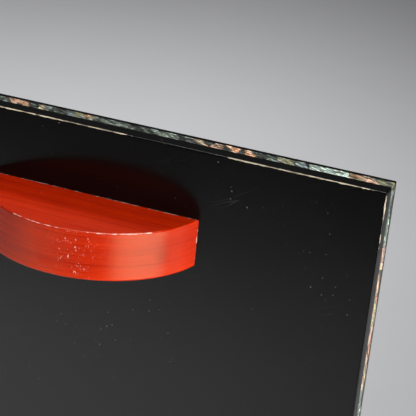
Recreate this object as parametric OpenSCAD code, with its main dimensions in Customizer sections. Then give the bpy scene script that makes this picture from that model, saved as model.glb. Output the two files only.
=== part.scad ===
// Lacquered slide-front bento case: a case of thin boards, a front board that lifts straight up by a
// half-moon pull, three stacked food boxes behind it and a brass bail on top.
// +Z is up and the front faces -Y. The origin is the centre of the underside of the base plinth.
// The front board is drawn raised, as it stands while the food boxes are taken out.

/* [Case] */
// Width of the case and of its front board
case_w = 179; // [170:1:220]
// Depth of the case behind the front board
case_d = 180; // [160:1:220]
// Height of the closed case
case_h = 220; // [212:1:260]
// Thickness of the case boards
wall_t = 9; // [8:0.5:12]
// Height of the base plinth
plinth_h = 5; // [3:0.5:10]
// How far the base plinth stands in from the case
plinth_inset = 10; // [4:1:20]

/* [Front board] */
// Thickness of the front board
door_t = 10.8; // [8:0.1:14]
// How far the front board is drawn raised from closed
door_raise = 192; // [0:1:192]
// Gap between the front board and the case
door_gap = 0.4; // [0.3:0.1:1]
// Width of the runners behind the front board
runner_w = 10; // [8:0.5:14]
// Depth of the runners behind the front board
runner_d = 12; // [10:0.5:14]
// How far the runners stop short of the front board's top edge
runner_drop = 8; // [6:0.5:12]
// Reach of each runner's tongue into its groove
tongue_reach = 4; // [3:0.5:5]
// Thickness of each runner's tongue
tongue_t = 6; // [4:0.5:7]
// Sliding clearance round each tongue
slide_gap = 0.4; // [0.3:0.1:0.8]

/* [Half-moon pull] */
// Width of the pull along its straight side
pull_w = 70; // [50:1:100]
// How far the pull stands out of the front board
pull_reach = 28; // [16:1:34]
// Height of the pull
pull_h = 15; // [10:0.1:22]
// Distance from the top of the front board down to the pull
pull_drop = 21.4; // [12:0.1:60]

/* [Pearl inlay] */
// Width of the inlaid pearl strips
pearl_w = 4.1; // [2:0.1:5]
// Thickness of the inlaid pearl strips
pearl_t = 1.2; // [0.6:0.1:2]
// Black margin between the strips and the back of the front board
pearl_margin = 1.7; // [1:0.05:3]

/* [Food boxes] */
// Height of each food box
tier_h = 56; // [40:1:56]
// Thickness of the food box walls
tier_wall = 5; // [4:0.5:7]
// Thickness of the food box bottoms
tier_floor_t = 4; // [3:0.5:5]
// Clearance between the food boxes and the case sides
tier_gap = 2; // [1:0.5:4]
// Clearance between one food box and the next
stack_gap = 0.3; // [0.3:0.1:1]
// Thickness of the dividers in the food boxes
divider_t = 4; // [3:0.5:6]
// Thickness of the lid on the top food box
lid_t = 4.5; // [3:0.5:6]

/* [Bail handle] */
// Distance between the middles of the two handle posts
post_spacing = 110; // [80:1:130]
// Diameter of the bail's rod
bail_d = 6; // [4:0.5:8]
// Length of the bail from its pivots to its grip
bail_reach = 62; // [45:1:70]
// Diameter of the bail's pivot pins
pivot_d = 4; // [3:0.1:5]

/* [Hidden] */
$fn = 64;

BLACK = [0.06, 0.06, 0.065];
RED = [0.72, 0.13, 0.05];
PEARL = [0.74, 0.76, 0.70];
BAMBOO = [0.78, 0.66, 0.44];
BRASS = [0.78, 0.62, 0.30];

cut = 1;                        // how far cutters pass a face
fit = 0.05;                     // radial clearance round dowels, studs and pivots

half_w = case_w / 2;
half_d = case_d / 2;
inner_w = half_w - wall_t;
floor_z = plinth_h + wall_t;
ceiling_z = case_h - wall_t;

door_back = -half_d - door_gap;
door_front = door_back - door_t;
door_low = plinth_h;
groove_x = inner_w + tongue_reach;
tongue_back = door_back + runner_d - 1;
tongue_front = tongue_back - tongue_t;
notch_w = runner_w + 2 * slide_gap;
notch_y = -half_d + runner_d + slide_gap;
runner_low = plinth_h + 1.5;
runner_high = case_h - runner_drop;
runner_x = inner_w - slide_gap - runner_w / 2;

pull_r = (pull_w * pull_w / 4 + pull_reach * pull_reach) / (2 * pull_reach);
pull_top = case_h - pull_drop;
pull_dowel_x = pull_w / 2 - 12;
pull_dowel_r = 3;
dowel_r = 2;
dowel_in = 6;                   // how deep a case dowel sits in the side board
dowel_len = 18;

pearl_y = door_back - pearl_margin;

tier_count = 3;                 // as many as NODES names
tier_front = -half_d + runner_d + 1;
tier_back = half_d - wall_t - tier_gap;
tier_w = inner_w - tier_gap;
tier_d = tier_back - tier_front;
tier_y = (tier_back + tier_front) / 2;
tier_pitch = tier_h + stack_gap;
rebate = 2.5;
small_pull_w = 34;
small_pull_reach = 11;
small_pull_h = 7;
small_pull_z = 32;
tenon_r = 2.5;
tenon_len = 4;
divider_h = 42;

lid_z = floor_z + stack_gap + tier_count * tier_pitch;
lip_h = 4;
lip_t = 3;
lip_gap = 0.4;
knob_r = 9;
knob_h = 7;

post_x = post_spacing / 2;
post_w = 12;
plate_w = 22;
plate_t = 1.5;
pivot_z = case_h + plate_t + 7;
arm_x = post_x + post_w / 2 + bail_d / 2 + 0.5;
stud_r = 2.5;
nut_h = 4;
corner_r = 12;                  // bend of the bail, to the middle of its rod
bail_rest = asin((pivot_z - case_h - bail_d / 2 - 0.3) / bail_reach);

function tier_z(n) = floor_z + stack_gap + (n - 1) * tier_pitch;

// A board or block between two opposite corners.
module block(low, high) {
    translate(low) cube(high - low);
}

// A round pin or bore along X, centred on its length.
module along_x(r, length) {
    rotate([0, 90, 0]) cylinder(r = r, h = length, center = true);
}

// A round pin or bore along Y, from y = 0 towards +Y.
module along_y(r, length) {
    rotate([-90, 0, 0]) cylinder(r = r, h = length);
}

// A half-moon block: its straight side on y = 0, its round side towards -Y, standing on z = 0.
module half_moon(width, reach, height) {
    radius = (width * width / 4 + reach * reach) / (2 * reach);
    intersection() {
        translate([0, radius - reach, 0]) cylinder(r = radius, h = height, $fn = 96);
        block([-radius, -2 * radius, 0], [radius, 0, height]);
    }
}

// Everything on the front board is drawn closed and then lifted.
module raised() {
    translate([0, 0, door_raise]) children();
}

// Places where the dowels pass from a side board into the boards between the sides, as [y, z].
CASE_DOWELS = [
    for (z = [plinth_h + wall_t / 2, case_h - wall_t / 2], y = [-half_d / 2, half_d / 2]) [y, z],
    for (z = [case_h * 0.3, case_h * 0.7]) [half_d - wall_t / 2, z]
];

module case_dowel_row(side, clearance) {
    for (p = CASE_DOWELS)
        translate([side * (inner_w + dowel_in - dowel_len / 2), p[0], p[1]])
            along_x(dowel_r + clearance, dowel_len + 2 * clearance);
}

module case_dowels() {
    color(BAMBOO) for (side = [-1, 1]) case_dowel_row(side, 0);
}

module base_plinth() {
    color(BLACK) block(
        [plinth_inset - half_w, plinth_inset - half_d, 0],
        [half_w - plinth_inset, half_d - plinth_inset, plinth_h]);
}

// The notches that let the runners pass the front corners of the top and bottom boards.
module runner_notches() {
    for (side = [-1, 1])
        translate([side * (inner_w - notch_w / 2), -half_d, 0])
            block([-notch_w / 2 - (side < 0 ? cut : 0), -cut, -cut],
                  [notch_w / 2 + (side > 0 ? cut : 0), notch_y + half_d, case_h + cut]);
}

module bottom_board() {
    color(BLACK) difference() {
        block([-inner_w, -half_d, plinth_h], [inner_w, half_d - wall_t, floor_z]);
        runner_notches();
        for (side = [-1, 1]) case_dowel_row(side, fit);
    }
}

module top_board() {
    color(BLACK) difference() {
        block([-inner_w, -half_d, ceiling_z], [inner_w, half_d - wall_t, case_h]);
        runner_notches();
        for (side = [-1, 1]) {
            case_dowel_row(side, fit);
            translate([side * post_x, 0, ceiling_z - cut])
                cylinder(r = stud_r + fit, h = wall_t + 2 * cut);
        }
    }
}

module back_board() {
    color(BLACK) difference() {
        block([-inner_w, half_d - wall_t, plinth_h], [inner_w, half_d, case_h]);
        for (side = [-1, 1]) case_dowel_row(side, fit);
    }
}

// A side board, drawn on the right: a groove open at the top guides the front board's runner.
module side_board(side) {
    groove_front = tongue_front - slide_gap;
    groove_back = tongue_back + slide_gap;
    difference() {
        block([side > 0 ? inner_w : -half_w, -half_d, plinth_h],
              [side > 0 ? half_w : -inner_w, half_d, case_h]);
        block([side > 0 ? inner_w - cut : -groove_x, groove_front, runner_low - 0.5],
              [side > 0 ? groove_x : cut - inner_w, groove_back, case_h + cut]);
        case_dowel_row(side, fit);
    }
}

module left_side() {
    color(BLACK) side_board(-1);
}

module right_side() {
    color(BLACK) side_board(1);
}

// The four pearl strips lie in grooves cut round the edge of the front board.
module pearl_strip(low, high) {
    block([low[0], pearl_y - pearl_w, low[1]], [high[0], pearl_y, high[1]]);
}

module pearl_top() {
    color(PEARL) raised() pearl_strip([-half_w, case_h - pearl_t], [half_w, case_h]);
}

module pearl_bottom() {
    color(PEARL) raised() pearl_strip([-half_w, door_low], [half_w, door_low + pearl_t]);
}

module pearl_side(side) {
    low = door_low + pearl_t;
    high = case_h - pearl_t;
    if (side > 0) pearl_strip([half_w - pearl_t, low], [half_w, high]);
    else pearl_strip([-half_w, low], [pearl_t - half_w, high]);
}

module pearl_left() {
    color(PEARL) raised() pearl_side(-1);
}

module pearl_right() {
    color(PEARL) raised() pearl_side(1);
}

module pull_dowel_pair(clearance) {
    for (side = [-1, 1])
        translate([side * pull_dowel_x, door_front - 8, pull_top - pull_h / 2])
            along_y(pull_dowel_r + clearance, 14);
}

module runner_dowel_row(side, clearance) {
    for (z = [runner_low + 20, case_h / 2, case_h - 20])
        translate([side * runner_x, door_back - 5, z])
            along_y(dowel_r + clearance, 12);
}

module door_board() {
    color(BLACK) raised() difference() {
        block([-half_w, door_front, door_low], [half_w, door_back, case_h]);
        pearl_strip([-half_w - cut, case_h - pearl_t], [half_w + cut, case_h + cut]);
        pearl_strip([-half_w - cut, door_low - cut], [half_w + cut, door_low + pearl_t]);
        pearl_strip([-half_w - cut, door_low], [pearl_t - half_w, case_h]);
        pearl_strip([half_w - pearl_t, door_low], [half_w + cut, case_h]);
        pull_dowel_pair(fit);
        for (side = [-1, 1]) runner_dowel_row(side, fit);
    }
}

module door_pull() {
    color(RED) raised() difference() {
        translate([0, door_front, pull_top - pull_h]) half_moon(pull_w, pull_reach, pull_h);
        pull_dowel_pair(fit);
    }
}

module pull_dowels() {
    color(BAMBOO) raised() pull_dowel_pair(0);
}

// A runner is a batten with a tongue along its outer side.
module door_runner(side) {
    outer = inner_w - slide_gap;
    tip = groove_x - slide_gap;
    difference() {
        union() {
            block([side > 0 ? outer - runner_w : -outer, door_back, runner_low],
                  [side > 0 ? outer : runner_w - outer, door_back + runner_d, runner_high]);
            block([side > 0 ? outer - 1 : -tip, tongue_front, runner_low],
                  [side > 0 ? tip : 1 - outer, tongue_back, runner_high]);
        }
        runner_dowel_row(side, fit);
    }
}

module door_runner_left() {
    color(BLACK) raised() door_runner(-1);
}

module door_runner_right() {
    color(BLACK) raised() door_runner(1);
}

module runner_dowels() {
    color(BAMBOO) raised() for (side = [-1, 1]) runner_dowel_row(side, 0);
}

// A food box has a ring of walls, a bottom let into it from below and a small half-moon pull.
module tier_walls(n) {
    color(BLACK) translate([0, 0, tier_z(n)]) difference() {
        block([-tier_w, tier_front, 0], [tier_w, tier_back, tier_h]);
        block([tier_wall - tier_w, tier_front + tier_wall, -cut],
              [tier_w - tier_wall, tier_back - tier_wall, tier_h + cut]);
        block([tier_wall - tier_w - rebate, tier_front + tier_wall - rebate, -cut],
              [tier_w - tier_wall + rebate, tier_back - tier_wall + rebate, tier_floor_t]);
        translate([0, tier_front - cut, small_pull_z + small_pull_h / 2])
            along_y(tenon_r + fit, tenon_len + cut + fit);
    }
}

module tier_floor(n) {
    edge = tier_wall - rebate + fit;
    color(RED) translate([0, 0, tier_z(n)])
        block([edge - tier_w, tier_front + edge, 0], [tier_w - edge, tier_back - edge, tier_floor_t]);
}

module tier_pull(n) {
    color(RED) translate([0, tier_front, tier_z(n) + small_pull_z]) {
        half_moon(small_pull_w, small_pull_reach, small_pull_h);
        translate([0, -1, small_pull_h / 2]) along_y(tenon_r, tenon_len + 1);
    }
}

// A divider across the box from left to right, at a distance y from the middle of the box.
module cross_board(n, y, x_low, x_high) {
    translate([0, tier_y + y, tier_z(n) + tier_floor_t])
        block([x_low, -divider_t / 2, 0], [x_high, divider_t / 2, divider_h]);
}

// A divider from front to back, at a distance x from the middle of the box.
module long_board(n, x) {
    translate([x, 0, tier_z(n) + tier_floor_t])
        block([-divider_t / 2, tier_front + tier_wall, 0],
              [divider_t / 2, tier_back - tier_wall, divider_h]);
}

module tier_1_divider() {
    color(RED) long_board(1, 22);
}

module tier_2_long_divider() {
    color(RED) difference() {
        long_board(2, 0);
        translate([0, tier_y, tier_z(2) + tier_floor_t + divider_h / 2])
            block([-divider_t, -divider_t / 2, 0], [divider_t, divider_t / 2, divider_h]);
    }
}

module tier_2_cross_divider() {
    inside = tier_w - tier_wall;
    color(RED) difference() {
        cross_board(2, 0, -inside, inside);
        translate([0, tier_y, tier_z(2) + tier_floor_t])
            block([-divider_t / 2, -divider_t, -cut], [divider_t / 2, divider_t, divider_h / 2]);
    }
}

module tier_3_divider() {
    inside = tier_w - tier_wall;
    color(RED) cross_board(3, 18, -inside, inside);
}

module tier_lid() {
    edge = tier_wall + lip_gap;
    color(BLACK) translate([0, 0, lid_z]) difference() {
        union() {
            block([-tier_w, tier_front, 0], [tier_w, tier_back, lid_t]);
            block([edge - tier_w, tier_front + edge, -lip_h], [tier_w - edge, tier_back - edge, cut]);
        }
        block([edge + lip_t - tier_w, tier_front + edge + lip_t, -lip_h - cut],
              [tier_w - edge - lip_t, tier_back - edge - lip_t, 0]);
        translate([0, tier_y, lid_t - 3]) cylinder(r = tenon_r + fit, h = 3 + cut);
    }
}

module lid_knob() {
    color(RED) translate([0, tier_y, lid_z + lid_t - 3]) {
        cylinder(r = tenon_r, h = 3.5);
        translate([0, 0, 3]) rotate_extrude($fn = 64) {
            square([knob_r - 3, knob_h]);
            square([knob_r, 3]);
            translate([knob_r - 3, 3.5]) circle(r = 3.5, $fn = 32);
        }
    }
}

// The bail: a grip, two round corners, two arms and the pivot pins that point inwards.
module handle_bail() {
    rod_r = bail_d / 2;
    pin_len = arm_x - post_x + post_w / 2;
    color(BRASS) translate([0, 0, pivot_z]) rotate([-bail_rest, 0, 0]) {
        translate([0, bail_reach, 0]) along_x(rod_r, 2 * (arm_x - corner_r));
        for (side = [-1, 1]) {
            translate([side * arm_x, 0, 0]) along_y(rod_r, bail_reach - corner_r);
            translate([side * (arm_x - corner_r), bail_reach - corner_r, 0])
                rotate([0, 0, side > 0 ? 0 : 90])
                    rotate_extrude(angle = 90) translate([corner_r, 0]) circle(r = rod_r, $fn = 32);
            translate([side * arm_x, 0, 0]) along_x(rod_r, bail_d);
            translate([side * (arm_x - pin_len / 2), 0, 0]) along_x(pivot_d / 2, pin_len);
        }
    }
}

// A post stands on its plate, with a round head bored for the pivot and a stud through the top board.
module handle_post(side) {
    color(BRASS) translate([side * post_x, 0, 0]) difference() {
        union() {
            block([-post_w / 2, -post_w / 2, case_h + plate_t], [post_w / 2, post_w / 2, pivot_z]);
            translate([0, 0, pivot_z]) along_x(post_w / 2, post_w);
            translate([0, 0, ceiling_z - nut_h - 1]) cylinder(r = stud_r, h = wall_t + plate_t + nut_h + 2);
        }
        translate([0, 0, pivot_z]) along_x(pivot_d / 2 + fit, post_w + 2 * cut);
    }
}

module handle_plate(side) {
    color(BRASS) translate([side * post_x, 0, case_h]) difference() {
        intersection() {
            block([-plate_w / 2, -plate_w / 2, 0], [plate_w / 2, plate_w / 2, plate_t]);
            cylinder(r = plate_w * 0.62, h = plate_t);
        }
        translate([0, 0, -cut]) cylinder(r = stud_r + fit, h = plate_t + 2 * cut);
    }
}

module handle_nuts() {
    color(BRASS) for (side = [-1, 1]) translate([side * post_x, 0, ceiling_z - nut_h]) difference() {
        cylinder(r = 5, h = nut_h, $fn = 6);
        translate([0, 0, -cut]) cylinder(r = stud_r + fit, h = nut_h + 2 * cut);
    }
}

base_plinth();
bottom_board();
left_side();
right_side();
back_board();
top_board();
case_dowels();
door_board();
door_pull();
pull_dowels();
door_runner_left();
door_runner_right();
runner_dowels();
pearl_top();
pearl_bottom();
pearl_left();
pearl_right();
tier_walls(1);  // tier_1_walls
tier_floor(1);  // tier_1_floor
tier_pull(1);  // tier_1_pull
tier_1_divider();
tier_walls(2);  // tier_2_walls
tier_floor(2);  // tier_2_floor
tier_pull(2);  // tier_2_pull
tier_2_long_divider();
tier_2_cross_divider();
tier_walls(3);  // tier_3_walls
tier_floor(3);  // tier_3_floor
tier_pull(3);  // tier_3_pull
tier_3_divider();
tier_lid();
lid_knob();
handle_bail();
handle_post(-1);  // handle_post_left
handle_post(1);  // handle_post_right
handle_plate(-1);  // handle_plate_left
handle_plate(1);  // handle_plate_right
handle_nuts();
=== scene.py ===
# %% [markdown]
# # A lacquered bento case with its front board raised
#
# The real object is a tall carrying case for stacked food boxes. Its front board slides up by a red
# half-moon pull, and strips of cracked abalone shell are let into the board's edges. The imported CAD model
# already has every piece at its true size and place. This script gives each one the surface it has in
# the hand: eased edges, coats of lacquer, slivers of shell, drawn brass.

# %% Load the frame
import math
import random

import bmesh
import bpy
from mathutils import Matrix, Vector


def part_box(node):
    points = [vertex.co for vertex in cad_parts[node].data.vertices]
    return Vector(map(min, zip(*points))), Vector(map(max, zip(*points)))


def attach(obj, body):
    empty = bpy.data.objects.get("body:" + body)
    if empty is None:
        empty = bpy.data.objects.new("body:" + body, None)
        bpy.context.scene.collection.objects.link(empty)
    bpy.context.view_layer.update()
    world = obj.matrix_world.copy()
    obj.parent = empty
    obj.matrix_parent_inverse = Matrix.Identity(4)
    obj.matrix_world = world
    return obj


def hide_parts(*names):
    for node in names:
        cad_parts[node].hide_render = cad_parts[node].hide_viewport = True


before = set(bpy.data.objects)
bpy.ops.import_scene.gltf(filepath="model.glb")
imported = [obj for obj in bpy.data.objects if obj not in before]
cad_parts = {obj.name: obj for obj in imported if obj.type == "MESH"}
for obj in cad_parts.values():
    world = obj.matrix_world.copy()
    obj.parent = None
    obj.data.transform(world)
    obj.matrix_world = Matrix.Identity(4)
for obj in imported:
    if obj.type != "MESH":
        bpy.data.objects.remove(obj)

MM = 0.001
scene = bpy.context.scene
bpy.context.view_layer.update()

# %% [markdown]
# The camera comes first, because every later choice of detail depends on how close it stands. It is a
# long lens close to the upper corner of the board. Its place is measured from the pull, so the
# framing holds if the board is raised more or less.

# %% Camera
PULL_TO_CAMERA = Vector((0.1678, -0.3908, 0.1756))
AZIMUTH, ELEVATION, ROLL = 18.45, 22.56, 5.98
LENS = 131.6

pull_low, pull_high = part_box("door_pull")
pull_seat = Vector((0, pull_high.y, pull_high.z))

camera_data = bpy.data.cameras.new("camera")
camera_data.lens = LENS
camera_data.sensor_width = 36
camera_data.clip_start = 0.01
camera = bpy.data.objects.new("camera", camera_data)
scene.collection.objects.link(camera)
camera.matrix_world = (
    Matrix.Translation(pull_seat + PULL_TO_CAMERA)
    @ Matrix.Rotation(math.radians(AZIMUTH), 4, "Z")
    @ Matrix.Rotation(math.radians(90 - ELEVATION), 4, "X")
    @ Matrix.Rotation(math.radians(ROLL), 4, "Z")
)
scene.camera = camera
print("camera stands at, mm:", [round(c / MM) for c in camera.matrix_world.translation])

# %% [markdown]
# Shader maths is easier to read as sums than as a web of nodes. `Wire` wraps one output socket and turns
# `+`, `-`, `*` and `/` into Math nodes. `Nodes` adds any other node with one method: first its settings,
# then the values or links of its sockets. The same two classes serve materials and Geometry Nodes.


# %% Wires and nodes
class Wire:
    """An output socket that can be used in sums."""

    def __init__(self, nodes, socket):
        self.nodes, self.socket = nodes, socket

    def sum(self, operation, *values):
        return self.nodes.add("ShaderNodeMath", {"operation": operation}, dict(enumerate(values)))

    def __add__(self, other):
        return self.sum("ADD", self, other)

    def __radd__(self, other):
        return self.sum("ADD", other, self)

    def __sub__(self, other):
        return self.sum("SUBTRACT", self, other)

    def __rsub__(self, other):
        return self.sum("SUBTRACT", other, self)

    def __mul__(self, other):
        return self.sum("MULTIPLY", self, other)

    def __truediv__(self, other):
        return self.sum("DIVIDE", self, other)

    def __abs__(self):
        return self.sum("ABSOLUTE", self)

    def at_most(self, ceiling):
        return self.sum("MINIMUM", ceiling, self)

    def step(self, low, high):
        """0 below low, 1 above high, and a smooth rise between them. It falls where low is above high."""
        settings = {"interpolation_type": "SMOOTHSTEP"}
        sockets = {"Value": self, "From Min": low, "From Max": high}
        return self.nodes.add("ShaderNodeMapRange", settings, sockets)

    def part(self, axis):
        return self.nodes.add("ShaderNodeSeparateXYZ", {}, {0: self}, output=axis)


class Nodes:
    """A node tree, and one method that adds any node to it."""

    def __init__(self, tree):
        self.tree = tree

    def add(self, kind, settings=None, sockets=None, output=0):
        node = self.tree.nodes.new(kind)
        for name, value in (settings or {}).items():
            if name == "stops":
                self.set_stops(node.color_ramp, value)
            else:
                setattr(node, name, value)
        for name, value in (sockets or {}).items():
            self.plug(value, node.inputs[name])
        return Wire(self, node.outputs[output])

    def plug(self, value, socket):
        if isinstance(value, Wire):
            self.tree.links.new(value.socket, socket)
        else:
            socket.default_value = value

    @staticmethod
    def set_stops(ramp, stops):
        while len(ramp.elements) < len(stops):
            ramp.elements.new(1)
        for element, (place, colour) in zip(ramp.elements, stops):
            element.position = place
            element.color = (*colour, 1)


class Finish(Nodes):
    """One material: its node tree, its surface shader and the patterns that the finishes share."""

    def __init__(self, name, constants):
        self.material = bpy.data.materials.new(name)
        self.material.use_nodes = True
        super().__init__(self.material.node_tree)
        self.surface = self.tree.nodes["Principled BSDF"]
        for socket, value in constants.items():
            self.surface.inputs[socket].default_value = value

    def millimetres(self):
        """The piece's own coordinates, in millimetres."""
        place = self.add("ShaderNodeTexCoord", output="Object")
        return self.scaled(place, (1 / MM,) * 3)

    def attribute(self, name, output="Vector"):
        return self.add("ShaderNodeAttribute", {"attribute_name": name}, output=output)

    def scaled(self, place, factors):
        return self.add("ShaderNodeVectorMath", {"operation": "MULTIPLY"}, {0: place, 1: factors})

    def turned(self, place, degrees):
        angles = [math.radians(d) for d in degrees]
        return self.add("ShaderNodeMapping", {}, {"Vector": place, "Rotation": angles})

    def noise(self, place, size, detail=2.0, roughness=0.5, output="Fac"):
        """A cloudy pattern from 0 to 1 whose patches are about size across."""
        sockets = {"Vector": place, "Scale": 1 / size, "Detail": detail, "Roughness": roughness}
        return self.add("ShaderNodeTexNoise", {}, sockets, output=output)

    def specks(self, place, spacing, biggest, share):
        """Round specks up to biggest across, in a share of the cells that are spacing apart."""
        sockets = {"Vector": place, "Scale": 1 / spacing}
        distance = self.add("ShaderNodeTexVoronoi", {}, sockets)
        luck = self.add("ShaderNodeTexVoronoi", {}, sockets, output="Color").part(0)
        radius = (luck - (1 - share)) / share * (biggest / 2 / spacing)
        return (radius - distance).step(0, 0.12 * biggest / spacing)

    def hairlines(self, place, length, spacing, width):
        """Fine straight scratches: the middle line of a pattern drawn out along X."""
        drawn = self.scaled(place, (spacing / length, 1, 1))
        waves = self.noise(drawn, spacing, detail=0)
        return abs(waves - 0.5).step(width, 0)

    def mix(self, factor, first, second):
        """A colour between first and second."""
        colours = [c if isinstance(c, Wire) else (*c, 1) for c in (first, second)]
        settings = {"data_type": "RGBA"}
        return self.add("ShaderNodeMix", settings, {0: factor, 6: colours[0], 7: colours[1]}, output=2)

    def ramp(self, value, stops):
        return self.add("ShaderNodeValToRGB", {"stops": stops}, {"Fac": value})

    def bump(self, height, depth, strength=1.0, normal=None):
        """A relief that stands depth metres high where height is 1."""
        sockets = {"Strength": strength, "Distance": depth, "Height": height}
        if normal is not None:
            sockets["Normal"] = normal
        return self.add("ShaderNodeBump", {}, sockets)

    def feed(self, **inputs):
        """Links wires to the surface shader, with base_color for Base Color and so on."""
        for name, wire in inputs.items():
            self.plug(wire, self.surface.inputs[name.replace("_", " ").title()])
        return self.material


print("node helpers ready")

# %% [markdown]
# ## Black lacquer
#
# Black urushi is many thin coats rubbed flat, so the surface is nearly a mirror, but a soft one. Three
# things keep it from looking like plastic: the coats are never quite even, so reflections waver a little;
# dust lies on it and fine hairlines cross it; and along the handled edges the black has rubbed through to
# the tan ground coat. The last one follows an edge attribute which each mesh carries on its outer edges;
# on the half-moon pull the same attribute also marks a painted highlight. Sizes of patterns are in
# millimetres.

# %% Black lacquer
BLACK = (0.0017, 0.00165, 0.00155)
THIN_BLACK = tuple(channel * 1.5 for channel in BLACK)
GROUND_COAT = (0.60, 0.51, 0.37)
WORN_DULL = (0.20, 0.165, 0.12)
DUST = (0.26, 0.25, 0.22)


def black_lacquer():
    finish = Finish("black_lacquer", {"IOR": 1.5, "Specular IOR Level": 0.22})
    mm = finish.millimetres()
    clouds = finish.noise(mm, 45, detail=3)
    ripples = finish.noise(mm, 9, detail=1)
    specks = finish.specks(mm, spacing=1.7, biggest=0.48, share=0.7)
    lying_askew = finish.scaled(finish.turned(mm, (20, 35, 50)), (0.25, 1, 1))
    lint = finish.specks(lying_askew, spacing=2.6, biggest=0.36, share=0.3)
    dust = (specks + lint) * finish.noise(mm, 26, detail=2).step(0.44, 0.66)
    scratches = finish.hairlines(finish.turned(mm, (0, 24, 0)), length=60, spacing=3.2, width=0.004)
    scratches = scratches * finish.noise(mm, 14).step(0.56, 0.68)
    rubbing = finish.noise(mm, 2.4, detail=4, roughness=0.75)
    pale_edge = (finish.attribute("edge_wear", "Fac") * 0.55 + rubbing).step(0.84, 0.98)
    patches = finish.noise(mm, 5, detail=3).step(0.35, 0.65)

    colour = finish.mix(clouds.step(0.3, 0.7), BLACK, THIN_BLACK)
    colour = finish.mix(dust * 0.55 + scratches * 0.06, colour, DUST)
    colour = finish.mix(pale_edge, colour, finish.mix(patches, WORN_DULL, GROUND_COAT))
    relief = ripples * 0.6 + clouds * 0.4 + dust * 0.5
    return finish.feed(
        base_color=colour,
        roughness=0.12 + clouds * 0.08 + dust * 0.4 + pale_edge * 0.35,
        normal=finish.bump(relief, 0.02 * MM, 0.5),
    )


BLACK_LACQUER = black_lacquer()
print("made", BLACK_LACQUER.name)

# %% [markdown]
# ## Red lacquer
#
# Vermilion urushi is thick and is brushed on in long strokes. The strokes stay in it as faint darker and
# lighter streaks that follow the brush, so this finish reads its pattern from a `grain` attribute: first
# the way along the stroke, then the way across it. A flat board has no such attribute and uses its own
# coordinates, drawn out along one axis. The sheen is softer than that of the black. Handled edges rub
# pale; on the half-moon pull's upper arris the pale line is a painted highlight.

# %% Red lacquer
VERMILION = (0.56, 0.022, 0.0005)
DEEP_RED = (0.28, 0.005, 0.0003)
FRESH_RED = (0.68, 0.06, 0.01)
SCUFF = (0.85, 0.48, 0.38)
PALE_WEAR_AND_HIGHLIGHT = (0.72, 0.56, 0.48)
STAIN = (0.10, 0.004, 0.001)
AMBER_SHEEN = (1, 0.76, 0.42, 1)
STROKE_DRAWN_OUT = 0.025


def red_lacquer(name, stroke=None):
    """Red lacquer. A stroke is the axis that the brush followed, or None for the grain attribute."""
    finish = Finish(name, {"IOR": 1.5, "Specular IOR Level": 0.34, "Specular Tint": AMBER_SHEEN})
    mm = finish.millimetres()
    if stroke is None:
        along = finish.scaled(finish.attribute("grain"), (1 / MM, 1 / MM, 1 / MM))
        drawn = finish.scaled(along, (STROKE_DRAWN_OUT, 0.7, 0.7))
    else:
        drawn = finish.scaled(mm, [STROKE_DRAWN_OUT if axis == stroke else 1 for axis in range(3)])
    streaks = finish.noise(drawn, 2.6, detail=5, roughness=0.62)
    threads = finish.noise(drawn, 0.5, detail=2)
    clouds = finish.noise(mm, 16, detail=3)
    specks = finish.specks(mm, spacing=2.6, biggest=0.42, share=0.10)
    scuffed = finish.attribute("scuff", "Fac") * finish.noise(mm, 1.6, detail=2).step(0.5, 0.56)
    dabs = finish.noise(finish.scaled(mm, (1, 1, 0.45)), 0.42, detail=1).step(0.60, 0.68) * scuffed
    marks = (specks + dabs).at_most(1)
    rubbing = finish.noise(mm, 1.5, detail=3)
    edge = finish.attribute("edge_wear", "Fac")
    # Pale edges: rubbed-through wear, and on the half-moon pull's upper arris a painted highlight.
    pale_edge = (edge * 0.55 + rubbing).step(0.82, 0.95)

    depth = (streaks * 0.7 + clouds * 0.3).step(0.14, 0.84)
    colour = finish.mix(depth, DEEP_RED, VERMILION)
    colour = finish.mix(threads.step(0.4, 0.8) * 0.08, colour, FRESH_RED)
    colour = finish.mix(marks * 0.6, colour, SCUFF)
    colour = finish.mix(pale_edge * 0.8, colour, PALE_WEAR_AND_HIGHLIGHT)
    colour = finish.mix(finish.attribute("smudge", "Fac") * 0.6, colour, STAIN)
    polish = edge.step(0.1, 0.3) * 0.16
    return finish.feed(
        base_color=colour,
        roughness=0.24 + threads * 0.08 + marks * 0.2 - polish,
        normal=finish.bump(streaks * 0.5 + threads * 0.5, 0.03 * MM, 0.4),
    )


RED_PULL = red_lacquer("red_lacquer_pull")
RED_BOARD = red_lacquer("red_lacquer_board", stroke=0)
print("made", RED_PULL.name, RED_BOARD.name)

# %% [markdown]
# ## Shell, bamboo and brass
#
# Abalone shell shines in patches that change from piece to piece: green, blue, cream, orange, or nearly
# black where it throws the light away. Each piece of shell carries three attributes: `shell` picks its
# colour, a painted sheen scales that colour by how brightly the piece throws the light back, brighter
# along its growth lines, and `lean` is how its layers tilt. That brightness, up and down, is a painted
# reflection: some pieces glint and some go nearly black. The thin growth lines are a stretched noise.
# Bamboo and brass need less: fibres along the dowel, and tarnish that stays away from the handled edges.

# %% Shell, bamboo and brass
SHELL_COLOURS = [
    (0.00, (0.030, 0.034, 0.032)),
    (0.16, (0.13, 0.15, 0.125)),
    (0.30, (0.24, 0.29, 0.22)),
    (0.42, (0.62, 0.74, 0.62)),
    (0.54, (0.34, 0.43, 0.50)),
    (0.66, (0.55, 0.57, 0.26)),
    (0.78, (0.80, 0.70, 0.52)),
    (0.90, (0.84, 0.36, 0.15)),
    (1.00, (0.88, 0.62, 0.48)),
]


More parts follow.
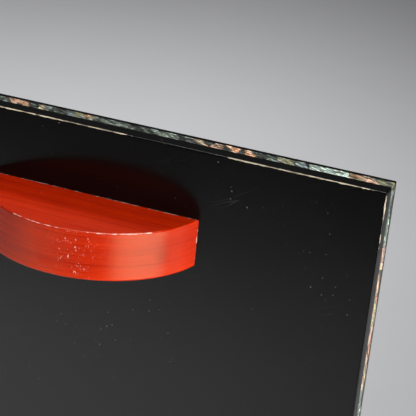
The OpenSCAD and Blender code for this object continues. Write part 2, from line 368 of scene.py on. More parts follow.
def abalone():
    finish = Finish("abalone_shell", {"IOR": 1.55, "Coat Roughness": 0.08, "Metallic": 0.35})
    mm = finish.millimetres()
    slanting = finish.scaled(finish.turned(mm, (25, 0, 28)), (0.22, 1, 0.5))
    layers = finish.noise(slanting, 0.55, detail=4, roughness=0.7)
    drift = finish.noise(mm, 1.6, detail=2)
    pick = finish.attribute("shell", "Fac") + (layers - 0.5) * 0.34 + (drift - 0.5) * 0.20
    # Painted reflection: each piece's own brightness, raised along its growth lines, multiplies its colour.
    shine = finish.attribute("shine", "Fac") * (layers.step(0.30, 0.72) * 1.5 + 0.2)
    shine = finish.add("ShaderNodeCombineXYZ", {}, {0: shine, 1: shine, 2: shine})
    colour = finish.scaled(finish.ramp(pick, SHELL_COLOURS), shine)
    flat = finish.add("ShaderNodeNewGeometry", output="Normal")
    leaning = finish.add(
        "ShaderNodeVectorMath", {"operation": "ADD"}, {0: flat, 1: finish.attribute("lean")}
    )
    leaning = finish.add("ShaderNodeVectorMath", {"operation": "NORMALIZE"}, {0: leaning})
    return finish.feed(
        base_color=colour,
        roughness=0.18 + drift * 0.25,
        coat_weight=0.5 + drift * 0.3,
        normal=finish.bump(layers, 0.04 * MM, 0.5, leaning),
    )


def bamboo():
    finish = Finish("bamboo", {"IOR": 1.45})
    mm = finish.millimetres()
    fibres = finish.noise(finish.scaled(mm, (0.1, 0.1, 1)), 0.6, detail=4)
    colour = finish.mix(fibres, (0.42, 0.29, 0.14), (0.62, 0.47, 0.26))
    return finish.feed(
        base_color=colour, roughness=0.5 + fibres * 0.2, normal=finish.bump(fibres, 0.05 * MM, 0.6)
    )


def brass():
    finish = Finish("aged_brass", {"Metallic": 1.0})
    mm = finish.millimetres()
    tarnish = finish.noise(mm, 11, detail=5, roughness=0.65)
    drawn = finish.noise(finish.scaled(mm, (0.08, 1, 1)), 0.5, detail=2)
    spots = finish.specks(mm, 2.2, 0.7, 0.2)
    handled = finish.attribute("edge_wear", "Fac")
    dullness = (tarnish.step(0.38, 0.68) * 0.8 + spots * 0.5) * (1 - handled * 0.7)
    colour = finish.mix(dullness, (0.83, 0.60, 0.28), (0.30, 0.19, 0.08))
    return finish.feed(
        base_color=colour,
        roughness=0.22 + dullness * 0.3 + drawn * 0.08,
        normal=finish.bump(drawn * 0.6 + tarnish * 0.4, 0.02 * MM, 0.5),
    )


ABALONE = abalone()
BAMBOO = bamboo()
BRASS = brass()
print("made", ABALONE.name, BAMBOO.name, BRASS.name)

# %% [markdown]
# ## From CAD node to finished piece
#
# A board from the CAD model has knife-sharp edges, which no lacquered board has: every arris is eased and
# then rounded further by the coats. `eased` copies a node, merges its loose triangles back into whole faces
# and bevels the sharp edges. The bevel's own faces are the outer edges, so they carry the `edge_wear`
# attribute. Flat sides stay flat-shaded, so that they reflect as one plane. A second finish can go on the
# faces that look inwards, because the inside of the case is red.


# %% Pieces
def add_piece(name, mesh, body, finishes, replaced=()):
    made = bpy.data.objects.new(name, mesh)
    scene.collection.objects.link(made)
    mesh.materials.clear()
    for finish in finishes:
        mesh.materials.append(finish)
    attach(made, body)
    if replaced:
        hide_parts(*replaced)


def write_attribute(mesh, name, values, kind="FLOAT", domain="POINT"):
    made = mesh.attributes.new(name, kind, domain)
    made.data.foreach_set("vector" if kind == "FLOAT_VECTOR" else "value", values)


def mesh_from(work, name, smooth_angle=35):
    """A mesh from a bmesh, smooth except across edges sharper than smooth_angle degrees."""
    bmesh.ops.recalc_face_normals(work, faces=work.faces)
    mesh = bpy.data.meshes.new(name)
    work.to_mesh(mesh)
    work.free()
    mesh.shade_smooth()
    mesh.set_sharp_from_angle(angle=math.radians(smooth_angle))
    return mesh


def whole_faces(node):
    """A bmesh of a CAD node with its triangles merged into whole faces."""
    work = bmesh.new()
    work.from_mesh(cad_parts[node].data)
    bmesh.ops.remove_doubles(work, verts=work.verts, dist=0.002 * MM)
    bmesh.ops.dissolve_limit(work, angle_limit=math.radians(1), verts=work.verts, edges=work.edges)
    return work


def is_sharp(edge, least=50):
    return len(edge.link_faces) == 2 and edge.calc_face_angle(0) > math.radians(least)


BEVEL, FACET, FLAT_SIDE = 0, 1, 2
BEVEL_WEAR = 0.62


def eased(name, node, body, finishes, width=0.5 * MM, inside=None):
    """A finished copy of a CAD node. inside(centre, normal) picks the faces of the second finish."""
    work = whole_faces(node)
    kinds = work.faces.layers.int.new("kind")
    for face in work.faces:
        on_a_round = any(is_sharp(e, 2) and not is_sharp(e, 30) for e in face.edges)
        face[kinds] = FACET if on_a_round else FLAT_SIDE
        if inside and inside(face.calc_center_median(), face.normal):
            face.material_index = 1
    edges = [e for e in work.edges if is_sharp(e) and e.is_convex]
    made = bmesh.ops.bevel(
        work, geom=edges, offset=width, segments=3, profile=0.5, affect="EDGES", clamp_overlap=True
    )
    for face in made["faces"]:
        face[kinds] = BEVEL
    mesh = mesh_from(work, name)
    found = [item.value for item in mesh.attributes["kind"].data]
    mesh.attributes.remove(mesh.attributes["kind"])
    for face, kind in zip(mesh.polygons, found):
        face.use_smooth = kind != FLAT_SIDE
    wear = [BEVEL_WEAR if kind == BEVEL else 0 for kind in found]
    write_attribute(mesh, "edge_wear", wear, domain="FACE")
    add_piece(name, mesh, body, finishes, [node])


back_low, back_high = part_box("back_board")
inner_half = back_high.x
floor_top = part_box("bottom_board")[1].z
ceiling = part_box("top_board")[0].z
NEAR = 0.1 * MM
STRAIGHT = 0.9


def looks_inwards(centre, normal):
    """Whether a face of the case is on the red inside."""
    walls = abs(abs(centre.x) - inner_half) < NEAR and normal.x * centre.x < 0
    back = normal.y < -STRAIGHT and abs(centre.y - back_low.y) < NEAR
    bottom = normal.z > STRAIGHT and abs(centre.z - floor_top) < NEAR
    roof = normal.z < -STRAIGHT and abs(centre.z - ceiling) < NEAR
    return walls or back or bottom or roof


BLACK_AND_RED = [BLACK_LACQUER, RED_BOARD]
for board in ("base_plinth", "bottom_board", "left_side", "right_side", "back_board", "top_board"):
    eased(board + "_lacquered", board, "case", BLACK_AND_RED, inside=looks_inwards)
for runner in ("door_runner_left", "door_runner_right"):
    eased(runner + "_lacquered", runner, "front", [BLACK_LACQUER])
print("inside of the case, mm:", round(2 * inner_half / MM, 1), "wide")

# %% [markdown]
# ## Slabs with a worked edge
#
# The front board and the pull are the pieces seen closest, so their edges are made point by point. Both are
# slabs: an outline, drawn again and again at different insets and depths, like the contour lines of a
# map. `slab` stacks those rings and closes it with a cap at each end. The nicks in the arris are moved
# points, and not only a pattern, so they also break the highlight and the silhouette.


# %% The slab maker
RIM_TURNS = (0, 30, 60, 90)
LEAST_CORNER = 0.02 * MM


def between(start, end, share):
    """The point that is a share of the way from start to end."""
    return tuple(a + (b - a) * share for a, b in zip(start, end))


def quarter(radius, steps=4):
    """Points (inset, depth) round an outer arris, from the face to the edge."""
    turns = [math.pi / 2 * k / steps for k in range(steps + 1)]
    return [(radius * (1 - math.sin(t)), radius * (1 - math.cos(t))) for t in turns]


def slab(name, ring, profile, place, wear_and_highlight_at, nick=None, grain=None):
    """A closed mesh. ring(inset) gives the outline; profile lists (inset, depth, wear and highlight)."""
    work = bmesh.new()
    wear = work.verts.layers.float.new("edge_wear")
    rings = []
    for inset, depth, pale_edge in profile:
        points = []
        for k, (u, v) in enumerate(ring(inset)):
            made = work.verts.new(place(u, v, depth))
            made[wear] = wear_and_highlight_at(made.co, pale_edge)
            if nick and pale_edge:
                made.co += nick(made.co.copy(), k) * pale_edge
            points.append(made)
        rings.append(points)
    for below, above in zip(rings, rings[1:]):
        for k in range(len(below)):
            after = (k + 1) % len(below)
            work.faces.new((below[k], below[after], above[after], above[k]))
    for cap in (rings[0], rings[-1]):
        work.faces.new(cap)
    if grain:
        stroke = work.loops.layers.float_vector.new("grain")
        for face in work.faces:
            for loop in face.loops:
                loop[stroke] = grain(loop.vert.co, len(face.verts) > 4)
    mesh = mesh_from(work, name)
    for face in mesh.polygons:
        face.use_smooth = len(face.vertices) == 4
    return mesh


def frame_ring(low, high, corner, step):
    """A function that gives a rounded rectangle at any inset, always with as many points."""
    sides = (high[0] - low[0], high[1] - low[1])

    def on_corner(centre, radius, degrees):
        angle = math.radians(degrees)
        return centre[0] + radius * math.cos(angle), centre[1] + radius * math.sin(angle)

    def ring(inset):
        points = []
        radius = max(corner - inset, LEAST_CORNER)
        left, right = low[0] + inset + radius, high[0] - inset - radius
        bottom, top = low[1] + inset + radius, high[1] - inset - radius
        centres = [(right, top), (left, top), (left, bottom), (right, bottom)]
        for k, centre in enumerate(centres):
            points += [on_corner(centre, radius, 90 * k + turn) for turn in RIM_TURNS]
            begin, end = points[-1], on_corner(centres[(k + 1) % 4], radius, 90 * (k + 1))
            parts = max(2, round(sides[k % 2] / step))
            points += [between(begin, end, n / parts) for n in range(1, parts)]
        return points

    return ring


print("slab maker ready")

# %% [markdown]
# ## The front board
#
# A 10.8 mm board with a channel round its whole edge for the shell. The profile walks round its edge: back
# arris, thin black margin, channel, wide black margin, front arris. The front arris is the one that hands
# and the case rub, so it has nicks: small ones everywhere and a few larger ones by the upper right corner.

# %% Front board
board_low, board_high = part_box("door_board")
strip_low, strip_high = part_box("pearl_top")
board_t = board_high.y - board_low.y
channel_back = board_high.y - strip_high.y
channel_front = board_high.y - strip_low.y
channel_depth = strip_high.z - strip_low.z
board_middle = (board_low + board_high) / 2
upper_corner = Vector((board_high.x, board_low.y, board_high.z))
ARRIS = 0.22 * MM
CORNER = 0.45 * MM
SMALL_NICK, NICK, CHIP = 0.05 * MM, 0.14 * MM, 0.35 * MM
CHIPPED_REACH = 6 * MM


def board_nick(point, k):
    """How a point of the front arris has been knocked back and inwards."""
    rng = random.Random(7919 * k + 13)
    depth = SMALL_NICK * rng.random()
    if rng.random() < 0.04:
        depth += NICK * rng.random()
    near = (point - upper_corner).length
    if near < CHIPPED_REACH and rng.random() < 0.5:
        depth += CHIP * rng.random() * (1 - near / CHIPPED_REACH)
    at_side = board_high.x - abs(point.x) < CORNER
    at_end = min(board_high.z - point.z, point.z - board_low.z) < CORNER
    sideways = math.copysign(at_side, board_middle.x - point.x)
    upright = math.copysign(at_end, board_middle.z - point.z)
    return Vector((sideways, 1, upright)).normalized() * depth


def board_wear(point, weight):
    """How far the front arris is rubbed: least right of the middle, and less and less down the sides."""
    across, drop = point.x / MM, (board_high.z - point.z) / MM
    if drop >= 1:
        return weight * (1.3 if drop < 6 else max(0.2, 1 - drop / 45))
    if 14 < across < 34:
        return weight * 0.25
    return weight * (0.6 if 10 < across < 42 or across > 84 else 1)


board_ring = frame_ring((board_low.x, board_low.z), (board_high.x, board_high.z), CORNER, 0.9 * MM)
back_arris = [(inset, depth, 0) for inset, depth in quarter(ARRIS)]
FRONT_WEAR = (0.8, 0.95, 1, 0.95, 0.8)
UNWORN = 2.6 * ARRIS
rounding = zip(reversed(quarter(ARRIS)), FRONT_WEAR)
front_arris = [(inset, board_t - depth, wear) for (inset, depth), wear in rounding]
board_profile = (
    back_arris
    + [(0, channel_back, 0), (channel_depth, channel_back, 0)]
    + [(channel_depth, channel_front, 0), (0, channel_front, 0)]
    + [(0, board_t - UNWORN, 0), *front_arris, (UNWORN, board_t, 0)]
)


def in_board(x, z, depth):
    return Vector((x, board_high.y - depth, z))


board_mesh = slab("front_board", board_ring, board_profile, in_board, board_wear, nick=board_nick)
add_piece("front_board", board_mesh, "front", [BLACK_LACQUER], ["door_board"])
print("front board:", len(board_mesh.polygons), "faces,", round(board_t / MM, 1), "mm thick")

# %% [markdown]
# ## The half-moon pull
#
# The pull is a slice of a disc. Its ring function works out the chord and the arc at each inset, so the
# eased edge stays even all the way round, corners included. The brush went along the straight side on the
# flat faces and round the curve on the band, and the `grain` attribute says so. Two more attributes say
# where fingertips have scuffed the band and where it has a small dark smudge.

# %% Half-moon pulls
PULL_ARRIS = 0.38 * MM
PULL_WEAR_AND_HIGHLIGHT = (0.2, 0.55, 1, 0.55, 0.2)
BAND_LEVELS = 8
SCUFF_X, SCUFF_REACH = 7 * MM, 5.5 * MM
SMUDGE_SIZE = 1.2 * MM


def lightly_rubbed(point, weight):
    return 0.3 * max(weight, 0)


def half_moon(name, node, body, seat, arris, steps, wear_and_highlight_at=lightly_rubbed):
    """A pull in the place of a CAD node, with its straight side at y = seat."""
    low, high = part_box(node)
    half_chord, reach, height = (high.x - low.x) / 2, seat - low.y, high.z - low.z
    arc_radius = (half_chord**2 + reach**2) / (2 * reach)
    centre = seat + arc_radius - reach

    def ring(inset):
        """The arc from right to left, then the chord back."""
        radius = arc_radius - inset
        across = arc_radius - reach + inset
        spread = math.acos(across / radius)
        ends = radius * math.sin(spread)
        turns = [spread - 2 * spread * k / steps for k in range(steps)]
        arc = [(radius * math.sin(t), centre - radius * math.cos(t)) for t in turns]
        return arc + [(-ends + 2 * ends * k / steps, centre - across) for k in range(steps)]

    def grain(point, on_cap):
        """Along and across the brush strokes, in metres."""
        if on_cap:
            return Vector((point.x, point.y, 40 * MM))
        return Vector((math.atan2(point.x, centre - point.y) * arc_radius, point.z, 0))

    def in_pull(x, y, rise):
        return Vector((x, y, low.z + rise))

    def scuffed(point):
        on_band = point.y < seat - 0.6 * reach and low.z + arris < point.z < high.z - arris
        return math.exp(-(((point.x - SCUFF_X) / SCUFF_REACH) ** 2)) * on_band

    def smudged(point):
        aside, above = point.x - 0.83 * half_chord, point.z - (low.z + 0.45 * height)
        return math.exp(-(aside**2 + above**2) / SMUDGE_SIZE**2)

    edge = [(inset, depth, weight) for (inset, depth), weight in zip(quarter(arris), PULL_WEAR_AND_HIGHLIGHT)]
    band = height - 2.8 * arris
    levels = [1.4 * arris + band * k / BAND_LEVELS for k in range(BAND_LEVELS + 1)]
    profile = [(2.2 * arris, 0, -1)] + edge + [(0, level, 0) for level in levels]
    profile += [(inset, height - depth, weight) for inset, depth, weight in reversed(edge)]
    profile += [(2.2 * arris, height, -1)]
    mesh = slab(name, ring, profile, in_pull, wear_and_highlight_at, grain=grain)
    write_attribute(mesh, "scuff", [scuffed(vertex.co) for vertex in mesh.vertices])
    write_attribute(mesh, "smudge", [smudged(vertex.co) for vertex in mesh.vertices])
    add_piece(name, mesh, body, [RED_PULL], [node])
    print(name + ":", round(2 * half_chord / MM, 1), "mm long,", round(reach / MM, 1), "mm deep")


def pale_seam_and_painted_highlight(point, weight):
    """Pale along the seam with the front board, and a painted highlight along the upper arris."""
    if point.y > board_low.y - 1.3 * PULL_ARRIS:
        return 0 if weight < 0 else 0.75
    if weight <= 0:
        return 0
    if point.z < pull_high.z - 2 * PULL_ARRIS:
        return 0.3 * weight
    # Painted highlight: brightest over two stretches of the upper arris, where the light catches it.
    across = point.x / MM
    return weight * (1.0 if 13 < across < 27 else 0.85 if -13 < across < 2 else 0.5)


half_moon("half_moon_pull", "door_pull", "front", board_low.y, PULL_ARRIS, 110, pale_seam_and_painted_highlight)
for n in (1, 2, 3):
    box_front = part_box(f"tier_{n}_walls")[0].y
    half_moon(f"box_{n}_pull", f"tier_{n}_pull", f"tier_{n}", box_front, 0.6 * MM, 40)

# %% [markdown]
# ## Recipes
#
# The shell mosaic, the nails and the bail all follow a rule, so they are made with Geometry Nodes. A
# `Recipe` is a node group with named inputs. `run` feeds it one mesh and hands back the plain mesh that
# comes out, so nothing is left live in the scene.


# %% Geometry recipes
class Recipe(Nodes):
    """A Geometry Nodes group with named inputs."""

    def __init__(self, name, inputs):
        super().__init__(bpy.data.node_groups.new(name, "GeometryNodeTree"))
        sockets = self.tree.interface
        sockets.new_socket("Geometry", in_out="INPUT", socket_type="NodeSocketGeometry")
        for title, kind in dict(inputs, Finish="Material").items():
            sockets.new_socket(title, in_out="INPUT", socket_type="NodeSocket" + kind)
        sockets.new_socket("Geometry", in_out="OUTPUT", socket_type="NodeSocketGeometry")
        self.entry = self.tree.nodes.new("NodeGroupInput")

    def given(self, title):
        return Wire(self, self.entry.outputs[title])

    def joined(self, *wires):
        join = self.tree.nodes.new("GeometryNodeJoinGeometry")
        for wire in wires:
            self.plug(wire, join.inputs[0])
        return Wire(self, join.outputs[0])

    def serve(self, wire):
        real = self.add("GeometryNodeRealizeInstances", {}, {0: wire})
        sockets = {"Geometry": real, "Material": self.given("Finish")}
        coated = self.add("GeometryNodeSetMaterial", {}, sockets)
        self.plug(coated, self.tree.nodes.new("NodeGroupOutput").inputs[0])

    def run(self, mesh, **values):
        holder = bpy.data.objects.new("holder", mesh)
        scene.collection.objects.link(holder)
        modifier = holder.modifiers.new("recipe", "NODES")
        modifier.node_group = self.tree
        for item in self.tree.interface.items_tree:
            if item.in_out == "INPUT" and item.name in values:
                modifier[item.identifier] = values[item.name]
        view = bpy.context.evaluated_depsgraph_get()
        made = bpy.data.meshes.new_from_object(holder.evaluated_get(view))
        bpy.data.objects.remove(holder)
        return made


print("recipes ready")

# %% [markdown]
# ## Cracked shell in the edges
#
# The maker lays thin plates of shell in a channel, cracks them under a roller and fills the cracks with
# black. Each plate keeps one colour, so the strip reads as a run of plates with long slanting cracks in
# them. Python draws the cracks as straight cuts through a flat strip. The recipe then draws every fragment
# in from its neighbours and gives it thickness.

# %% Shell recipe
shell_recipe = Recipe("shell fragments", {"Size": "Float", "Thickness": "Float", "Seed": "Int"})
apart = shell_recipe.add("GeometryNodeSplitEdges", {}, {"Mesh": shell_recipe.given("Geometry")})
drawn_in = shell_recipe.add(
    "GeometryNodeScaleElements", {"domain": "FACE"}, {"Geometry": apart, "Scale": shell_recipe.given("Size")}
)
uneven = shell_recipe.add(
    "FunctionNodeRandomValue",
    {"data_type": "FLOAT"},
    {2: 0.90, 3: 1.0, "Seed": shell_recipe.given("Seed")},
    output=1,
)
thick = shell_recipe.add(
    "GeometryNodeExtrudeMesh",
    {"mode": "FACES"},
    {"Mesh": drawn_in, "Offset Scale": uneven * shell_recipe.given("Thickness"), "Individual": True},
)
underside = shell_recipe.add("GeometryNodeFlipFaces", {}, {"Mesh": drawn_in})
closed = shell_recipe.add(
    "GeometryNodeMergeByDistance",
    {},
    {"Geometry": shell_recipe.joined(thick, underside), "Distance": 0.0005 * MM},
)
shell_recipe.serve(closed)

# Places along SHELL_COLOURS.
DARK, GREEN_GREY, SAGE, BRIGHT, BLUE = 0.02, 0.16, 0.30, 0.42, 0.54
LIME, CREAM, ORANGE, PEACH = 0.66, 0.78, 0.90, 1.00
ASSORTED = (GREEN_GREY, SAGE, SAGE, CREAM, BLUE, LIME, ORANGE)
END_GAP = 0.12
SHORTEST_PLATE = 1.5
# Plates from the right end of the top edge and from the top of the right edge: length in mm, colour,
# painted sheen (a painted reflection) and the mean area of a fragment in mm2.
TOP_PLATES = [
    (5.0, LIME, 0.6, 1.2), (2.7, PEACH, 1.5, 1.0), (5.3, CREAM, 0.8, 0.8), (12.0, BRIGHT, 1.9, 0.45),
    (0.8, DARK, 0.8, 1), (3.5, BLUE, 0.9, 1.6), (5.3, LIME, 0.9, 1.4), (3.0, BLUE, 0.9, 1.5),
    (4.2, GREEN_GREY, 0.9, 1.6), (3.1, ORANGE, 1.3, 1.1), (1.6, GREEN_GREY, 0.9, 1.2),
    (3.4, ORANGE, 1.2, 1.0), (1.6, GREEN_GREY, 0.8, 1), (3.6, PEACH, 0.8, 0.9),
    (2.0, GREEN_GREY, 0.8, 1), (3.5, CREAM, 0.9, 0.5), (5.0, DARK, 1.6, 1.8), (4.0, SAGE, 1.0, 1.2),
    (4.2, SAGE, 1.1, 1.2), (8.0, GREEN_GREY, 0.9, 1.8), (11.5, SAGE, 0.75, 1.2), (3.2, CREAM, 0.9, 0.9),
    (3.6, LIME, 0.8, 0.8), (2.2, BLUE, 0.7, 1), (5.2, GREEN_GREY, 0.7, 1.6), (2.0, BLUE, 0.6, 0.9),
    (2.0, CREAM, 1.1, 0.9), (3.5, GREEN_GREY, 0.7, 1.5), (6.5, ORANGE, 1.1, 2.0),
    (9.0, GREEN_GREY, 0.8, 2.0),
]
SIDE_PLATES = [
    (3, SAGE, 1.0, 2), (8, GREEN_GREY, 1.8, 3), (7, SAGE, 1.5, 3), (5, PEACH, 1.3, 4), (21, CREAM, 1.7, 6),
    (12, PEACH, 1.2, 5), (9, CREAM, 1.1, 4), (14, SAGE, 1.3, 3),
]


def split(shape, point, angle):
    """The two parts of a convex shape on either side of a line."""
    across = (-math.sin(angle), math.cos(angle))
    sides = [(x - point[0]) * across[0] + (y - point[1]) * across[1] for x, y in shape]
    parts = ([], [])
    for k, here in enumerate(shape):
        after, side, next_side = shape[(k + 1) % len(shape)], sides[k], sides[(k + 1) % len(shape)]
        parts[side < 0].append(here)
        if (side < 0) != (next_side < 0):
            crossing = between(here, after, side / (side - next_side))
            parts[0].append(crossing)
            parts[1].append(crossing)
    return [part for part in parts if len(part) > 2]


def area(shape):
    return abs(sum(a[0] * b[1] - b[0] * a[1] for a, b in zip(shape, shape[1:] + shape[:1]))) / 2


def mean_x(shape):
    return sum(x for x, y in shape) / len(shape)


def crack(shape, goal, rng):
    """Cuts a shape again and again, mostly with long slanting cracks."""
    if area(shape) < goal * rng.uniform(0.6, 1.6):
        return [shape]
    xs, ys = [p[0] for p in shape], [p[1] for p in shape]
    long_way = max(xs) - min(xs) > 2.2 * (max(ys) - min(ys))
    angle = rng.uniform(0.9, 2.4) if long_way and rng.random() < 0.6 else rng.gauss(0.35, 0.3)
    middle = (sum(xs) / len(xs) + rng.gauss(0, 0.4), sum(ys) / len(ys) + rng.gauss(0, 0.3))
    parts = split(shape, middle, angle)
    if len(parts) < 2:
        return [shape]
    return [piece for part in parts for piece in crack(part, goal, rng)]


def any_plate(rng):
    """The length, colour, painted sheen and mean fragment area of one plate where it doesn't matter which.
    """
    return rng.uniform(3, 11), rng.choice(ASSORTED), rng.uniform(0.6, 1.2), rng.uniform(1, 2)


def mosaic(node, along, across, up, plates, seed):
    """Fills a strip with cracked plates. along, across and up are unit vectors, and along starts the run."""
    rng = random.Random(seed)
    low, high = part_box(node)
    onwards = along + across + up
    corner = Vector([high[i] if onwards[i] < 0 else low[i] for i in range(3)])
    length, width, depth = (abs((high - low).dot(v)) / MM for v in (along, across, up))
    strip = [(END_GAP, 0), (END_GAP, width), (length - END_GAP, width), (length - END_GAP, 0)]
    cut, queue = END_GAP, list(plates)
    points, faces, values = [], [], {"shell": [], "shine": [], "lean": []}
    while strip:
        plate_length, colour, shine, fragment_area = queue.pop(0) if queue else any_plate(rng)
        cut += plate_length
        if cut > length - SHORTEST_PLATE:
            plate, strip = strip, None
        else:
            slant = math.pi / 2 + rng.gauss(-0.35, 0.3)
            plate, strip = sorted(split(strip, (cut, width / 2), slant), key=mean_x)
        for fragment in crack(plate, fragment_area, rng):
            faces.append([len(points) + k for k in range(len(fragment))])
            points += [corner + (along * u + across * v) * MM for u, v in fragment]
            values["shell"].append(colour + rng.gauss(0, 0.07))
            # Each fragment's painted sheen: a painted reflection, brighter on some and darker on others.
            values["shine"].append(shine * rng.choice((0.15, 0.45, 0.7, 0.9, 1.2, 1.6)))
            values["lean"] += [rng.gauss(0, 0.07) for _ in range(3)]
    flat = bpy.data.meshes.new(node + "_cracks")
    flat.from_pydata(points, [], faces)
    if flat.polygons[0].normal.dot(up) < 0:
        flat.flip_normals()
    write_attribute(flat, "shell", values["shell"], domain="FACE")
    write_attribute(flat, "shine", values["shine"], domain="FACE")
    write_attribute(flat, "lean", values["lean"], "FLOAT_VECTOR", "FACE")
    mesh = shell_recipe.run(flat, Size=0.93, Thickness=depth * MM, Seed=seed, Finish=ABALONE)
    add_piece(node + "_mosaic", mesh, "front", [ABALONE], [node])
    print(node, "has", len(faces), "fragments")


X, Y, Z = Vector((1, 0, 0)), Vector((0, 1, 0)), Vector((0, 0, 1))
mosaic("pearl_top", -X, Y, Z, TOP_PLATES, 11)
mosaic("pearl_right", -Z, Y, X, SIDE_PLATES, 12)
mosaic("pearl_left", -Z, Y, -X, [], 13)
mosaic("pearl_bottom", -X, Y, -Z, [], 14)

# %% [markdown]
# ## Food boxes and lid
#
# Each box is four boards, black outside and red inside like the case, with a red bottom let in from below.
# The dividers are loose red boards. The same `eased` helper makes them all, with a rounder edge on the
# boxes because they are handled most.

# %% Food boxes
BOX_EDGE, THIN_EDGE, RED_EDGE = 0.9 * MM, 0.4 * MM, 0.6 * MM

for n in (1, 2, 3):
    walls_low, walls_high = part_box(f"tier_{n}_walls")
    middle = (walls_low + walls_high) / 2
    half = (walls_high - walls_low) / 2

    def inside_box(centre, normal, middle=middle, half=half):
        out = centre - middle
        near = max(abs(out.x) - half.x, abs(out.y) - half.y)
        return near < -1 * MM and abs(normal.z) < 0.5 and normal.dot(out) < 0

    walls, body = f"tier_{n}_walls", f"tier_{n}"
    eased(f"box_{n}_walls", walls, body, BLACK_AND_RED, BOX_EDGE, inside_box)
    eased(f"box_{n}_bottom", f"tier_{n}_floor", body, [RED_BOARD], THIN_EDGE)
for node in ("tier_1_divider", "tier_2_long_divider", "tier_2_cross_divider", "tier_3_divider"):
    eased(node.replace("tier", "box"), node, node[:6], [RED_BOARD], RED_EDGE)


def looks_down(centre, normal):
    return normal.z < -STRAIGHT


eased("box_lid", "tier_lid", "lid", BLACK_AND_RED, BOX_EDGE, looks_down)
eased("box_lid_knob", "lid_knob", "lid", [RED_BOARD], RED_EDGE)
print("boxes are", round(2 * half.x / MM), "mm wide and", round(2 * half.z / MM), "mm high")

# %% [markdown]
# ## Handle and hidden joinery
#
# The bail is one drawn brass rod, a little thicker in the grip, bent round two corners, with thinner pins
# that turn in the posts. The recipe rounds the corners of a plain path and sweeps the rod along it.

# %% Bail
PIN_SHARE, GRIP_SHARE = 0.66, 1.12
GRIP_END, PIN_OVERLAP = 22 * MM, 1 * MM
bail_low, bail_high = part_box("handle_bail")
post_low, post_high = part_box("handle_post_right")
pivot_z = post_high.z - (post_high.x - post_low.x) / 2
rod = bail_high.z - pivot_z
arm_x = bail_high.x - rod
grip = Vector((0, bail_high.y - rod, bail_low.z + rod))
reach = grip - Vector((0, 0, pivot_z))

bail_recipe = Recipe("rod along a path", {"Bend": "Float", "Sides": "Int"})
path = bail_recipe.add("GeometryNodeMeshToCurve", {}, {"Mesh": bail_recipe.given("Geometry")})
bent = bail_recipe.add(
    "GeometryNodeFilletCurve",
    {"mode": "POLY"},
    {"Curve": path, "Count": 12, "Radius": bail_recipe.given("Bend"), "Limit Radius": True},
)
outline = bail_recipe.add(
    "GeometryNodeCurvePrimitiveCircle", {}, {"Resolution": bail_recipe.given("Sides"), "Radius": 1.0}
)
thickness = bail_recipe.add("GeometryNodeInputNamedAttribute", {"data_type": "FLOAT"}, {"Name": "thickness"})
swept = bail_recipe.add(
    "GeometryNodeCurveToMesh",
    {},
    {"Curve": bent, "Profile Curve": outline, "Scale": thickness, "Fill Caps": True},
)
bail_recipe.serve(swept)


def rods(name, lines):
    """A mesh of plain paths. lines is a list of lists of (point, rod radius)."""
    mesh = bpy.data.meshes.new(name)
    points, edges, radii = [], [], []
    for line in lines:
        edges += [(len(points) + k, len(points) + k + 1) for k in range(len(line) - 1)]
        points += [point for point, radius in line]
        radii += [radius for point, radius in line]
    mesh.from_pydata(points, edges, [])
    write_attribute(mesh, "thickness", radii)
    return mesh


pivot = Vector((0, 0, pivot_z))
right = Vector((arm_x, 0, 0))
grip_part = Vector((arm_x - GRIP_END, 0, 0))
half_bow = [
    (pivot + reach + grip_part * 0.7, rod * GRIP_SHARE),
    (pivot + reach + grip_part, rod),
    (pivot + reach + right, rod),
    (pivot + reach * 0.5 + right, rod),
    (pivot + right, rod),
]
other_half = [(Vector((-point.x, point.y, point.z)), radius) for point, radius in reversed(half_bow)]
lines = [other_half + half_bow]
pin_start, pin_radius = Vector((post_low.x + PIN_OVERLAP, 0, 0)), rod * PIN_SHARE
eye = Vector((rod, 0, 0))
for side in (-1, 1):
    arm = pivot + side * right
    lines.append([(pivot + side * pin_start, pin_radius), (arm, pin_radius)])
    lines.append([(arm - eye, rod), (arm + eye, rod)])
bail_path = rods("bail_path", lines)
bail_mesh = bail_recipe.run(bail_path, Bend=12 * MM, Sides=28, Finish=BRASS)
bail_mesh.shade_smooth()
bail_mesh.set_sharp_from_angle(angle=math.radians(40))
add_piece("brass_bail", bail_mesh, "bail", [BRASS], ["handle_bail"])
print("rod radius, mm:", round(rod / MM, 2), "reach, mm:", round(reach.length / MM, 1))

# %% [markdown]
# The posts stand on small plates, and each plate is held by two domed nails. The CAD model leaves the nails
# out, because they are too small to matter to it. A recipe sets one low dome on every nail place.

# %% Posts, plates and nails
NAIL_RADIUS, NAIL_MARGIN = 1.3 * MM, 3.2 * MM
nail_recipe = Recipe("domed nails", {"Radius": "Float"})
dome = nail_recipe.add(
    "GeometryNodeMeshUVSphere", {}, {"Segments": 20, "Rings": 10, "Radius": nail_recipe.given("Radius")}
)
low_dome = nail_recipe.add("GeometryNodeTransform", {}, {"Geometry": dome, "Scale": (1, 1, 0.5)})
nail_recipe.serve(
    nail_recipe.add(
        "GeometryNodeInstanceOnPoints", {}, {"Points": nail_recipe.given("Geometry"), "Instance": low_dome}
    )
)

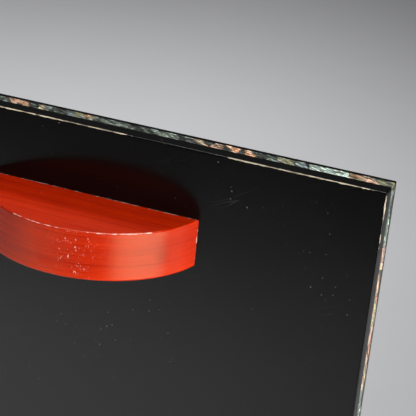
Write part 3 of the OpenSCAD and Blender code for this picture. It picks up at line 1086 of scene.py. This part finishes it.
nail_places = []
for side in ("left", "right"):
    eased(f"brass_post_{side}", f"handle_post_{side}", "case", [BRASS], 0.5 * MM)
    eased(f"brass_plate_{side}", f"handle_plate_{side}", "case", [BRASS], 0.35 * MM)
    plate_low, plate_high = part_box(f"handle_plate_{side}")
    middle = (plate_low + plate_high) / 2
    from_middle = (plate_high.x - plate_low.x) / 2 - NAIL_MARGIN
    for way in (1, -1):
        nail_places.append((middle.x, middle.y + way * from_middle, plate_high.z))
nail_points = bpy.data.meshes.new("nail_places")
nail_points.from_pydata(nail_places, [], [])
nail_mesh = nail_recipe.run(nail_points, Radius=NAIL_RADIUS, Finish=BRASS)
nail_mesh.shade_smooth()
add_piece("plate_nails", nail_mesh, "case", [BRASS])
eased("brass_nuts", "handle_nuts", "case", [BRASS], 0.4 * MM)
print(len(nail_places), "nails of", len(nail_mesh.polygons) // len(nail_places), "faces each")

# %% [markdown]
# Dowels and nuts are out of sight, but they are there and can be shown on their own. A dowel has chamfered
# ends, so that it starts easily in its hole.

# %% Dowels
for node, body in (("case_dowels", "case"), ("pull_dowels", "front"), ("runner_dowels", "front")):
    eased(node + "_bamboo", node, body, [BAMBOO], 0.4 * MM)
print("dowels done")

# %% [markdown]
# ## Studio
#
# A pale paper floor runs out past the edge of the view on all sides. A black mirror looks like whatever it
# reflects, and this board reflects the floor in front of it. So the paper is shaded: it is darkest well out
# in front, which the board's top shows, and it also darkens to the right and far behind, as a sheet does
# that isn't lit evenly. Five soft boxes do the rest. One hangs overhead, a key light and a card stand on
# the right and draw the sheen on the pull, and two pools light the paper in front and behind. The sky is
# nearly dark in reflections and pale where the camera sees it directly.

# %% Studio
PAPER_BRIGHTNESS = 0.62
PAPER_TINT = (1, 1.005, 1.03)
SKY_COLOUR = (1, 1, 1.02, 1)
SKY_IN_REFLECTIONS, SKY_SEEN = 0.05, 0.50

paper = Finish("studio_paper", {"Roughness": 0.9})
place = paper.millimetres()
fleck = paper.noise(place, 60, detail=3)
towards_right = (place.part(0) + place.part(1) * 0.16).step(-280, 560)
far = place.part(1).step(700, 1900)
near_end = place.part(1).step(-620, -1230)
even = PAPER_BRIGHTNESS + fleck * 0.02
shade = even * (1 - towards_right * 0.5) * (1 - far * 0.25) * (1 - near_end * 0.85)
tinted = {channel: shade * tint for channel, tint in enumerate(PAPER_TINT)}
paper.feed(base_color=paper.add("ShaderNodeCombineXYZ", {}, tinted))
disc = bmesh.new()
bmesh.ops.create_circle(disc, cap_ends=True, segments=96, radius=7)
floor = bpy.data.objects.new("floor", mesh_from(disc, "floor"))
floor.data.materials.append(paper.material)
scene.collection.objects.link(floor)


def soft_box(name, place, target, size, watts, spread=180):
    """A rectangular light in a place, facing a target, in metres, watts and degrees."""
    data = bpy.data.lights.new(name, "AREA")
    data.shape = "RECTANGLE"
    data.size, data.size_y = size
    data.energy = watts
    data.spread = math.radians(spread)
    lamp = bpy.data.objects.new(name, data)
    scene.collection.objects.link(lamp)
    aim = Vector(target) - Vector(place)
    lamp.matrix_world = Matrix.Translation(place) @ aim.to_track_quat("-Z", "Y").to_matrix().to_4x4()


soft_box("overhead", (0.16, -0.50, 1.35), (0, -0.1, 0.35), (0.60, 0.20), 3.4)
soft_box("key", (0.88, -0.50, 0.80), (0, -0.12, 0.36), (0.30, 0.30), 1.15, spread=60)
soft_box("side_card", (0.56, -0.38, 0.18), (0, -0.12, 0.38), (0.60, 0.26), 1.7, spread=120)
soft_box("front_pool", (-0.35, -0.62, 1.1), (-0.35, -0.60, 0), (0.5, 0.5), 5.5, spread=66)
soft_box("back_wash", (-0.30, 0.85, 1.8), (-0.30, 0.80, 0), (0.6, 0.6), 10, spread=110)

world = bpy.data.worlds.new("studio")
scene.world = world
world.use_nodes = True
sky = Nodes(world.node_tree)
seen = sky.add("ShaderNodeLightPath", output="Is Camera Ray")
background = world.node_tree.nodes["Background"]
strength = SKY_IN_REFLECTIONS + seen * (SKY_SEEN - SKY_IN_REFLECTIONS)
sky.plug(strength, background.inputs["Strength"])
background.inputs["Color"].default_value = SKY_COLOUR
scene.view_settings.view_transform = "Standard"
